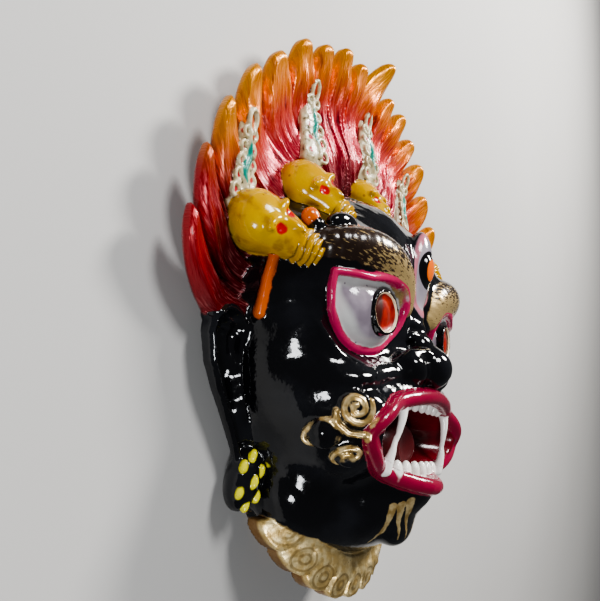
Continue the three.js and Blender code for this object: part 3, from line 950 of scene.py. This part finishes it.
def part_fields(x, y, z, groups, inner):
    far = {name: reach(forms, x, y, z) for name, forms in {**groups, **inner}.items()}
    made = {name: paint_share(name, far, [far[o] for o in groups if o != name]) for name in PAINTED}
    front = np.maximum(mouth_pocket(MOUTH_CUT).distance(x, y, z), -1)
    for name in inner:
        made[name] = paint_share(name, far, [far[o] for o in inner if o != name] + [np.abs(front)])
    made["lips"] = np.minimum(0.35 - far["lips"], 2)
    made["mouth"] = np.clip(0.25 - front, -2, 2)
    made["plume"] = np.maximum(made["plume"], made["scroll"])
    in_ear = (ear_depth(x, y) > 0) & (z < 7.5) & (z > 2)
    made["hair"] = np.where(in_ear, -2, made["hair"])
    return made


def eye_fields(x, y, z):
    ring, iris_out = np.full(len(x), 9.0), np.zeros(len(x))
    for side in SIDES:
        near = (x * side > 8) & (x * side < 27) & (np.abs(y + 4) < 8) & (z > 19)
        u, v, _ = local(x[near], y[near], z[near], *iris_frame(side))
        ring[near] = np.hypot(u, v)
        iris_out[near] = side * u
    half = THIRD_EYE["half"]
    third = np.hypot(x / half[0], (y - THIRD_EYE["place"][1]) / half[1])
    return {
        "eye": np.clip(inside_line(np.abs(x), y, EYE_EDGE), -3, 6),
        "ring": ring,
        "iris_out": iris_out,
        "third_edge": (1 - third) * half[0],
        "third_ring": np.hypot(x / 0.8, y - THIRD_EYE["iris_y"]),
    }


def skull_fields(x, y, z):
    pits, folds = np.full(len(x), 3.0), np.zeros(len(x))
    for place in SKULLS:
        near = (np.hypot(x - place[0], y - place[1]) < 13) & (z > 4)
        u, v, w = skull_place(place, x[near], y[near], z[near])
        pits[near] = np.minimum(pits[near], socket_distance(u, v, w))
        folds[near] = np.maximum(folds[near], skull_ridges(u, v))
    return {"pits": -pits, "folds": folds}


def plume_fields(x, y):
    teal, dots = np.full(len(x), -3.0), np.full(len(x), -3.0)
    for plume, side in ALL_PLUMES:
        foot, along, across, length = plume_frame(plume, side)
        v = (x - foot[0]) * along[0] + (y - foot[1]) * along[1]
        u = (x - foot[0]) * across[0] + (y - foot[1]) * across[1]
        sway = 0.45 * np.sin(v * 0.9)
        width = 1.15 * np.sin(np.clip((v - 2.5) / (length - 8), 0, 1) * math.pi) - 0.1
        teal = np.maximum(teal, width - np.abs(u - sway))
        for scroll_u, scroll_v, _ in plume_scrolls(length):
            dots = np.maximum(dots, 0.6 - np.hypot(np.abs(u) - scroll_u, v - scroll_v))
        dots = np.maximum(dots, 0.6 - np.hypot(u * 1.6, (v - length + 2.2) * 0.8))
    return {"teal": teal, "dots": dots}


def paint_fields(points, groups, inner):
    x, y, z = points.T
    a = np.abs(x)
    made = {
        **part_fields(x, y, z, groups, inner),
        **eye_fields(x, y, z),
        **skull_fields(x, y, z),
        **plume_fields(x, y),
    }
    angle, _, made["radius"] = crown_place(x, y)
    made["across"] = strand_place(angle, made["radius"])
    angle, depth = collar_place(x, y)
    made["petal"] = petal_reach(lobe_share(angle), depth)
    # How far below the collar's top a point lies, which sets the painted shade on its side wall.
    made["collar_shade_depth"] = collar_height(x) - z
    made["tuft"] = np.where(z > 12, tuft_paint(a, y), -2)
    made["brow_across"] = 0.98 * y - 0.2 * a
    made["brow_along"] = -0.98 * a - 0.2 * y
    made["side"], made["up"], made["height"] = a, y, z
    return {name: value.astype(np.float32) for name, value in made.items()}


groups, inner = build_groups()
field = cast(groups, inner)
points, quads = surface(field)
fields = paint_fields(points, groups, inner)
print("surface:", len(points), "points,", len(quads), "quads")


# The enamel: paint laid over paint, each within the distances kept on the mesh points

class Paint:
    """A node material that is put together from sockets."""

    def __init__(self, name):
        self.material = bpy.data.materials.new(name)
        self.material.use_nodes = True
        self.nodes = self.material.node_tree.nodes
        self.links = self.material.node_tree.links
        self.shader = self.nodes["Principled BSDF"]
        self.place = self.nodes.new("ShaderNodeTexCoord").outputs["Object"]

    def node(self, kind, output, inputs, **settings):
        """One output of a new node, whose inputs are numbers, colours or other sockets."""
        node = self.nodes.new("ShaderNode" + kind)
        for name, value in settings.items():
            setattr(node, name, value)
        for name, value in inputs.items():
            self.put(node.inputs[name], value)
        return node.outputs[output]

    def put(self, socket, value):
        """Sets a socket. A text is the name of an attribute of the mesh."""
        if isinstance(value, (int, float)):
            socket.default_value = value
        elif isinstance(value, tuple):
            socket.default_value = (*value, 1)
        elif isinstance(value, str):
            self.links.new(self.node("Attribute", "Fac", {}, attribute_name=value), socket)
        else:
            self.links.new(value, socket)

    def math(self, operation, a, b=0.0):
        return self.node("Math", 0, {0: a, 1: b}, operation=operation)

    def times(self, a, b):
        return self.math("MULTIPLY", a, b)

    def span(self, value, a, b, low=0.0, high=1.0):
        """low to high as a value goes from a to b."""
        inputs = {"Value": value, "From Min": a, "From Max": b, "To Min": low, "To Max": high}
        return self.node("MapRange", "Result", inputs, interpolation_type="SMOOTHSTEP")

    def noise(self, scale, detail=2.0, vector=None, roughness=0.5):
        inputs = {"Vector": vector or self.place, "Scale": scale, "Detail": detail, "Roughness": roughness}
        return self.node("TexNoise", "Fac", inputs)

    def cells(self, scale):
        return self.node("TexVoronoi", "Distance", {"Vector": self.place, "Scale": scale})

    def ramp(self, value, stops):
        colour = self.node("ValToRGB", "Color", {"Fac": value})
        line = colour.node.color_ramp
        while len(line.elements) < len(stops):
            line.elements.new(0.5)
        for element, (position, tint) in zip(line.elements, stops):
            element.position = position
            element.color = (*tint, 1)
        return colour

    def mix(self, share, a, b):
        return self.node("Mix", 2, {0: share, 6: a, 7: b}, data_type="RGBA")

    def blend(self, share, a, b):
        return self.node("Mix", 0, {0: share, 2: a, 3: b})

    def vector(self, x, y):
        return self.node("CombineXYZ", 0, {0: x, 1: y})


class Enamel(Paint):
    """Coats of paint, each laid over those before it. It starts all black."""

    def __init__(self, name):
        super().__init__(name)
        self.wobble = self.times(self.math("SUBTRACT", self.noise(700, 2), 0.5), 0.5)
        self.cloud = self.noise(90, 3)
        self.fine = self.noise(1400, 2)
        worn = self.span(self.cloud, 0.4, 0.7)
        self.colour = self.mix(worn, (0.0035, 0.0035, 0.0045), (0.009, 0.0095, 0.012))
        self.rough = self.span(self.fine, 0.3, 0.8, 0.05, 0.14)
        self.metal = 0.0
        self.relief = self.times(self.noise(300, 3), 0.9)

    def share(self, value, width=0.12, loose=1.0):
        """1 inside a painted region, 0 outside it, with a hand-painted edge."""
        moved = self.math("ADD", value, self.times(self.wobble, loose))
        return self.span(moved, -width, width)

    def lay(self, region, colour, rough, metal=0.0, relief=None):
        self.colour = self.mix(region, self.colour, colour)
        self.rough = self.blend(region, self.rough, rough)
        self.metal = self.blend(region, self.metal, metal)
        if relief is not None:
            self.relief = self.blend(region, self.relief, relief)

    def coat(self, name, *paint):
        """A coat over the group of forms with that name."""
        self.lay(self.share(name), *paint)

    def finish(self):
        shader = self.shader
        self.put(shader.inputs["Base Color"], self.colour)
        self.put(shader.inputs["Roughness"], self.rough)
        self.put(shader.inputs["Metallic"], self.metal)
        shader.inputs["Specular IOR Level"].default_value = 0.38
        shader.inputs["Coat Weight"].default_value = 0.12
        shader.inputs["Coat Roughness"].default_value = 0.06
        bump = self.node("Bump", 0, {"Strength": 0.55, "Distance": 0.0003, "Height": self.relief})
        self.put(shader.inputs["Normal"], bump)
        return self.material


BLACK = (0.004, 0.004, 0.005)


def paint_hair(p):
    """Red hair that turns rose, then orange and amber at the flames' tips."""
    place = p.vector("across", p.times("radius", 0.09))
    strands = p.noise(1.6, 3, place, 0.6)
    hairs = p.noise(3.6, 2, place, 0.6)
    shift = p.math("ADD", "radius", p.times(p.math("SUBTRACT", strands, 0.5), 9))
    stops = [
        (0.0, (0.13, 0.002, 0.008)),
        (0.22, (0.3, 0.006, 0.02)),
        (0.45, (0.44, 0.025, 0.045)),
        (0.68, (0.55, 0.06, 0.03)),
        (0.82, (0.6, 0.14, 0.008)),
        (1.0, (0.5, 0.2, 0.006)),
    ]
    hair = p.ramp(p.span(shift, 22, 58), stops)
    up = p.math("ADD", "up", p.times(p.math("SUBTRACT", p.cloud, 0.5), 14))
    crimson = p.mix(p.span("radius", 40, 56), (0.08, 0.001, 0.005), (0.28, 0.007, 0.011))
    hair = p.mix(p.span(up, 26, 10), hair, crimson)
    glint = p.times(p.span(hairs, 0.52, 0.72, 0, 0.5), p.span("radius", 54, 46))
    hair = p.mix(glint, hair, (0.62, 0.2, 0.19))
    # Painted shade: near black in the grooves between the strands, where the strand noise is low.
    gap = p.times(p.span(strands, 0.46, 0.28, 0, 0.85), p.span("radius", 57, 47, 0.25, 1))
    hair = p.mix(gap, hair, (0.06, 0.001, 0.004))
    relief = p.math("ADD", strands, p.times(hairs, 0.6))
    p.coat("hair", hair, p.span(hairs, 0.3, 0.7, 0.18, 0.38), 0.35, relief)


def paint_collar(p):
    gold = p.mix(p.span(p.noise(500, 3), 0.4, 0.65), (0.56, 0.4, 0.16), (0.82, 0.66, 0.35))
    gold = p.mix(p.span(p.cells(900), 0.16, 0.08, 0, 0.6), gold, (0.2, 0.12, 0.04))
    for radius, width in ((0.75, 0.3), (1.75, 0.25)):
        line = p.math("ABSOLUTE", p.math("SUBTRACT", "petal", radius))
        gold = p.mix(p.span(line, width, 0.1, 0, 0.6), gold, (0.24, 0.15, 0.05))
    # Painted shade: dark brown on the collar's lower side wall, below its top.
    gold = p.mix(p.span("collar_shade_depth", 1.2, 2.2, 0, 0.85), gold, (0.16, 0.07, 0.025))
    p.coat("collar", gold, p.span(p.fine, 0.3, 0.7, 0.32, 0.5), 0.75, p.times(p.noise(1500, 2), 0.35))


def paint_skulls(p):
    ochre = p.mix(p.span(p.cloud, 0.35, 0.7), (0.44, 0.23, 0.002), (0.56, 0.34, 0.003))
    ochre = p.mix(p.span(p.noise(260, 3), 0.54, 0.7, 0, 0.6), ochre, (0.2, 0.08, 0.003))
    ochre = p.mix(p.span(p.cells(330), 0.13, 0.09, 0, 0.8), ochre, (0.25, 0.11, 0.01))
    # Painted shade: dark olive in the grooves between the folds around the muzzle.
    ochre = p.mix(p.span("folds", 0.35, 0.95, 0, 0.85), ochre, (0.09, 0.05, 0.004))
    p.coat("skull", ochre, 0.14, 0.0, p.noise(300, 2))
    p.lay(p.share(p.math("ADD", "pits", 0.1), 0.12, 1.6), (0.42, 0.008, 0.008), 0.2)


def paint_plumes(p):
    """Ivory plumes with a teal vein and red dots within the scrolls."""
    ivory = p.mix(p.span(p.noise(700, 3), 0.3, 0.7), (0.36, 0.3, 0.17), (0.56, 0.5, 0.32))
    p.coat("plume", ivory, 0.35, 0.0, p.noise(800, 2))
    on_plume = p.span("plume", -0.5, -0.2)
    p.lay(p.times(p.share("teal", 0.15, 1.2), on_plume), (0.01, 0.2, 0.15), 0.3)
    not_scroll = p.span("scroll", 0.1, -0.1)
    p.lay(p.times(p.share("dots", 0.15, 1.2), not_scroll), (0.35, 0.012, 0.02), 0.3)


def paint_eyes(p):
    """Lavender white with a painted highlight band along its rim, and a red iris in black and gold rings
    that turns near black on its outer side as a painted reflection.
    """
    milk = p.mix(p.span(p.noise(220, 2), 0.35, 0.7), (0.19, 0.16, 0.19), (0.3, 0.26, 0.3))
    # Painted highlight: a lighter band just inside the eye's outline.
    milk = p.mix(p.span("eye", 3.0, 1.6), milk, (0.46, 0.46, 0.45))
    milk = p.mix(p.span(p.cells(420), 0.1, 0.07), milk, (0.2, 0.18, 0.2))
    p.lay(p.times(p.share("eye", 0.12, 0.6), p.span("height", 10, 11)), milk, 0.12)
    p.lay(p.span("ring", 4.65, 4.5), BLACK, 0.1)
    p.lay(p.span("ring", 3.95, 3.8), (0.75, 0.6, 0.4), 0.25)
    ember = p.mix(p.span(p.noise(500, 2), 0.35, 0.7), (0.17, 0.003, 0.001), (0.32, 0.014, 0.002))
    # Painted reflection: the iris turns near black towards its outer side.
    ember = p.mix(p.span("iris_out", 0.2, 1.6, 0, 0.9), ember, (0.02, 0.006, 0.004))
    p.lay(p.span("ring", 3.66, 3.52), ember, 0.3)


def paint_brows(p):
    """Brown black with gold strokes, strongest towards the nose."""
    comb = p.vector("brow_along", p.times("brow_across", 3.4))
    p.coat("brow", p.mix(p.cloud, (0.008, 0.004, 0.003), (0.035, 0.02, 0.013)), 0.22)
    gilt = p.times(p.span("side", 30, 12), p.span("brow_across", 6.5, 1.0, 0.25, 1.0))
    gilt = p.span(p.math("ADD", p.noise(0.7, 3, comb, 0.55), p.times(gilt, 0.3)), 0.6, 0.74)
    p.lay(p.times(p.share("brow"), gilt), (0.5, 0.36, 0.16), 0.32, 0.6)


def paint_lids(p):
    pink = p.mix(p.cloud, (0.28, 0.008, 0.05), (0.5, 0.03, 0.11))
    p.coat("lid", pink, 0.16)
    band = p.times(p.span("eye", -0.3, -0.1), p.span("eye", 0.3, 0.1))
    p.lay(p.times(band, p.span("height", 10, 11)), pink, 0.16)


def paint_third_eye(p):
    high = p.span("height", 21, 22)
    grey = p.mix(p.span(p.cloud, 0.35, 0.7), (0.2, 0.18, 0.21), (0.36, 0.32, 0.36))
    p.lay(p.times(p.share(p.math("SUBTRACT", "third_edge", 0.2), 0.15, 0.6), high), grey, 0.13)
    rim = p.times(p.span("third_edge", 0.1, 0.3), p.span("third_edge", 1.0, 0.8))
    p.lay(p.times(p.times(rim, high), 0.8), (0.42, 0.1, 0.14), 0.2)
    near_middle = p.times(high, p.span("third_edge", 0, 0.3))
    p.lay(p.times(p.span("third_ring", 4.4, 4.2), near_middle), BLACK, 0.08)
    p.lay(p.times(p.span("third_ring", 2.5, 2.3), near_middle), (0.7, 0.13, 0.01), 0.1)


def paint_mouth(p):
    """Dark red inside, darkened deeper in by painted shade, raspberry lips and white teeth."""
    # The mouth's dark red, with painted shade: near black towards the bottom of the pocket.
    mouth_red_and_depth_shade = p.mix(p.span("height", 17, 27), (0.01, 0.001, 0.002), (0.12, 0.004, 0.009))
    p.lay(p.share("mouth", 0.1, 0.4), mouth_red_and_depth_shade, 0.18)
    tongue = p.times(p.share("tongue"), p.share("mouth"))
    p.lay(tongue, (0.06, 0.005, 0.006), 0.3)
    p.coat("lips", p.mix(p.cloud, (0.13, 0.004, 0.017), (0.27, 0.013, 0.045)), 0.18)
    p.lay(p.share("teeth", 0.1, 0.5), (0.78, 0.76, 0.72), 0.15)


def enamel():
    p = Enamel("enamel")
    paint_hair(p)
    paint_collar(p)
    paint_skulls(p)
    paint_plumes(p)
    p.coat("bead", BLACK, 0.06)
    p.coat("ribbon", p.mix(p.cloud, (0.42, 0.06, 0.006), (0.62, 0.13, 0.01)), 0.2)
    paint_eyes(p)
    paint_brows(p)
    paint_lids(p)
    paint_third_eye(p)
    paint_mouth(p)
    brass = p.mix(p.span(p.noise(600, 2), 0.35, 0.65), (0.42, 0.28, 0.1), (0.75, 0.58, 0.3))
    p.coat("curl", brass, 0.3, 0.7)
    p.coat("tuft", brass, 0.3, 0.7)
    p.lay(p.share("stones", 0.1, 0.5), (0.72, 0.66, 0.02), 0.16)
    return p.finish()


def build_pieces(points, quads, fields, material):
    """The surface in a few pieces, which share their normals where they meet."""
    middle = points[quads].mean(1)
    left, crown, eyes = middle[:, 0] < 0, middle[:, 1] > 12, middle[:, 1] > -20
    bounds = [("crown_left", crown & left), ("crown_right", crown), ("eyes_left", eyes & left),
              ("eyes_right", eyes), ("mouth_left", left), ("mouth_right", ~left)]
    a, b, c, d = (points[quads[:, i]] for i in range(4))
    face_normals = np.cross(c - a, d - b)
    normals = np.zeros_like(points)
    for i in range(4):
        for axis in range(3):
            normals[:, axis] += np.bincount(quads[:, i], face_normals[:, axis], len(points))
    normals /= np.linalg.norm(normals, axis=1)[:, None] + 1e-12
    placed = (points - (0, MIDDLE_Y, 0)) * MM
    taken = np.zeros(len(quads), bool)
    for name, region in bounds:
        mine = quads[region & ~taken]
        taken |= region
        used, flat = np.unique(mine, return_inverse=True)
        mesh = bpy.data.meshes.new("casting_" + name)
        mesh.vertices.add(len(used))
        mesh.vertices.foreach_set("co", placed[used].ravel())
        mesh.loops.add(len(mine) * 4)
        mesh.loops.foreach_set("vertex_index", flat.reshape(-1).astype(np.int32))
        mesh.polygons.add(len(mine))
        mesh.polygons.foreach_set("loop_start", np.arange(len(mine), dtype=np.int32) * 4)
        mesh.polygons.foreach_set("use_smooth", np.ones(len(mine), bool))
        for key, value in fields.items():
            layer = mesh.attributes.new(key, "FLOAT", "POINT")
            layer.data.foreach_set("value", value[used])
        mesh.update(calc_edges=True)
        mesh.normals_split_custom_set_from_vertices(normals[used])
        mesh.materials.append(material)
        piece = bpy.data.objects.new("casting_" + name, mesh)
        bpy.context.scene.collection.objects.link(piece)
        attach(piece, "root")
        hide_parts("mask")
        print(name, len(mine) * 2, "triangles")


build_pieces(points, quads, fields, enamel())


# The floor, the lights and the camera

def build_floor():
    mesh = bpy.data.meshes.new("floor")
    half, below = 4.0, -0.00005
    corners = [(-half, -half, below), (half, -half, below), (half, half, below), (-half, half, below)]
    mesh.from_pydata(corners, [], [(0, 1, 2, 3)])
    p = Paint("floor_paint")
    tone = p.mix(p.noise(6, 3), (0.4, 0.395, 0.385), (0.47, 0.465, 0.455))
    p.put(p.shader.inputs["Base Color"], tone)
    p.shader.inputs["Roughness"].default_value = 0.7
    mesh.materials.append(p.material)
    floor = bpy.data.objects.new("floor", mesh)
    bpy.context.scene.collection.objects.link(floor)


def build_light(name, place, target, size, power, colour=(1, 1, 1)):
    data = bpy.data.lights.new(name, "AREA")
    data.shape = "DISK"
    data.size = size
    data.energy = power
    data.color = colour
    lamp = bpy.data.objects.new(name, data)
    place, target = np.array(place, float), np.array(target, float)
    lamp.location = place
    lamp.rotation_mode = "QUATERNION"
    lamp.rotation_quaternion = Vector(target - place).to_track_quat("-Z", "Y")
    bpy.context.scene.collection.objects.link(lamp)


SENSOR = 36
PICTURE_PIXELS = 601  # the photograph's height
FOCAL_PIXELS = 600  # the fitted focal length, in the photograph's pixels


def build_camera():
    """The photograph's camera: low on the left of the mask, rolled a quarter turn."""
    place = np.array([-120.63, -25.6 - MIDDLE_Y, 74.57]) * MM
    right = np.array([0.5299, 0.1366, 0.8370])
    up = np.array([-0.2337, 0.9722, -0.0108])
    back = np.cross(right, up)
    data = bpy.data.cameras.new("camera")
    data.sensor_width = data.sensor_height = SENSOR
    data.sensor_fit = "VERTICAL"
    data.lens = SENSOR * FOCAL_PIXELS / PICTURE_PIXELS
    data.clip_start = 0.005
    camera = bpy.data.objects.new("camera", data)
    turn = Matrix(np.stack([right, up, back], 1).tolist()).to_4x4()
    turn.translation = place
    camera.matrix_world = turn
    bpy.context.scene.collection.objects.link(camera)
    bpy.context.scene.camera = camera


build_floor()
build_light("key", (0.26, 0.34, 0.3), (0, 0, 0.01), 0.12, 5.0, (1, 0.97, 0.93))
build_light("top", (-0.1, 0.32, 0.36), (0, 0, 0.01), 0.14, 2.6)
build_light("fill", (-0.34, -0.22, 0.22), (-0.02, 0, 0.01), 0.1, 1.2, (0.95, 0.97, 1))

world = bpy.data.worlds.new("studio")
world.use_nodes = True
world.node_tree.nodes["Background"].inputs[0].default_value = (0.8, 0.82, 0.85, 1)
world.node_tree.nodes["Background"].inputs[1].default_value = 0.16
bpy.context.scene.world = world
build_camera()

view = bpy.context.scene.view_settings
view.view_transform = "AgX"
view.look = "AgX - Medium High Contrast"
view.exposure = -0.2
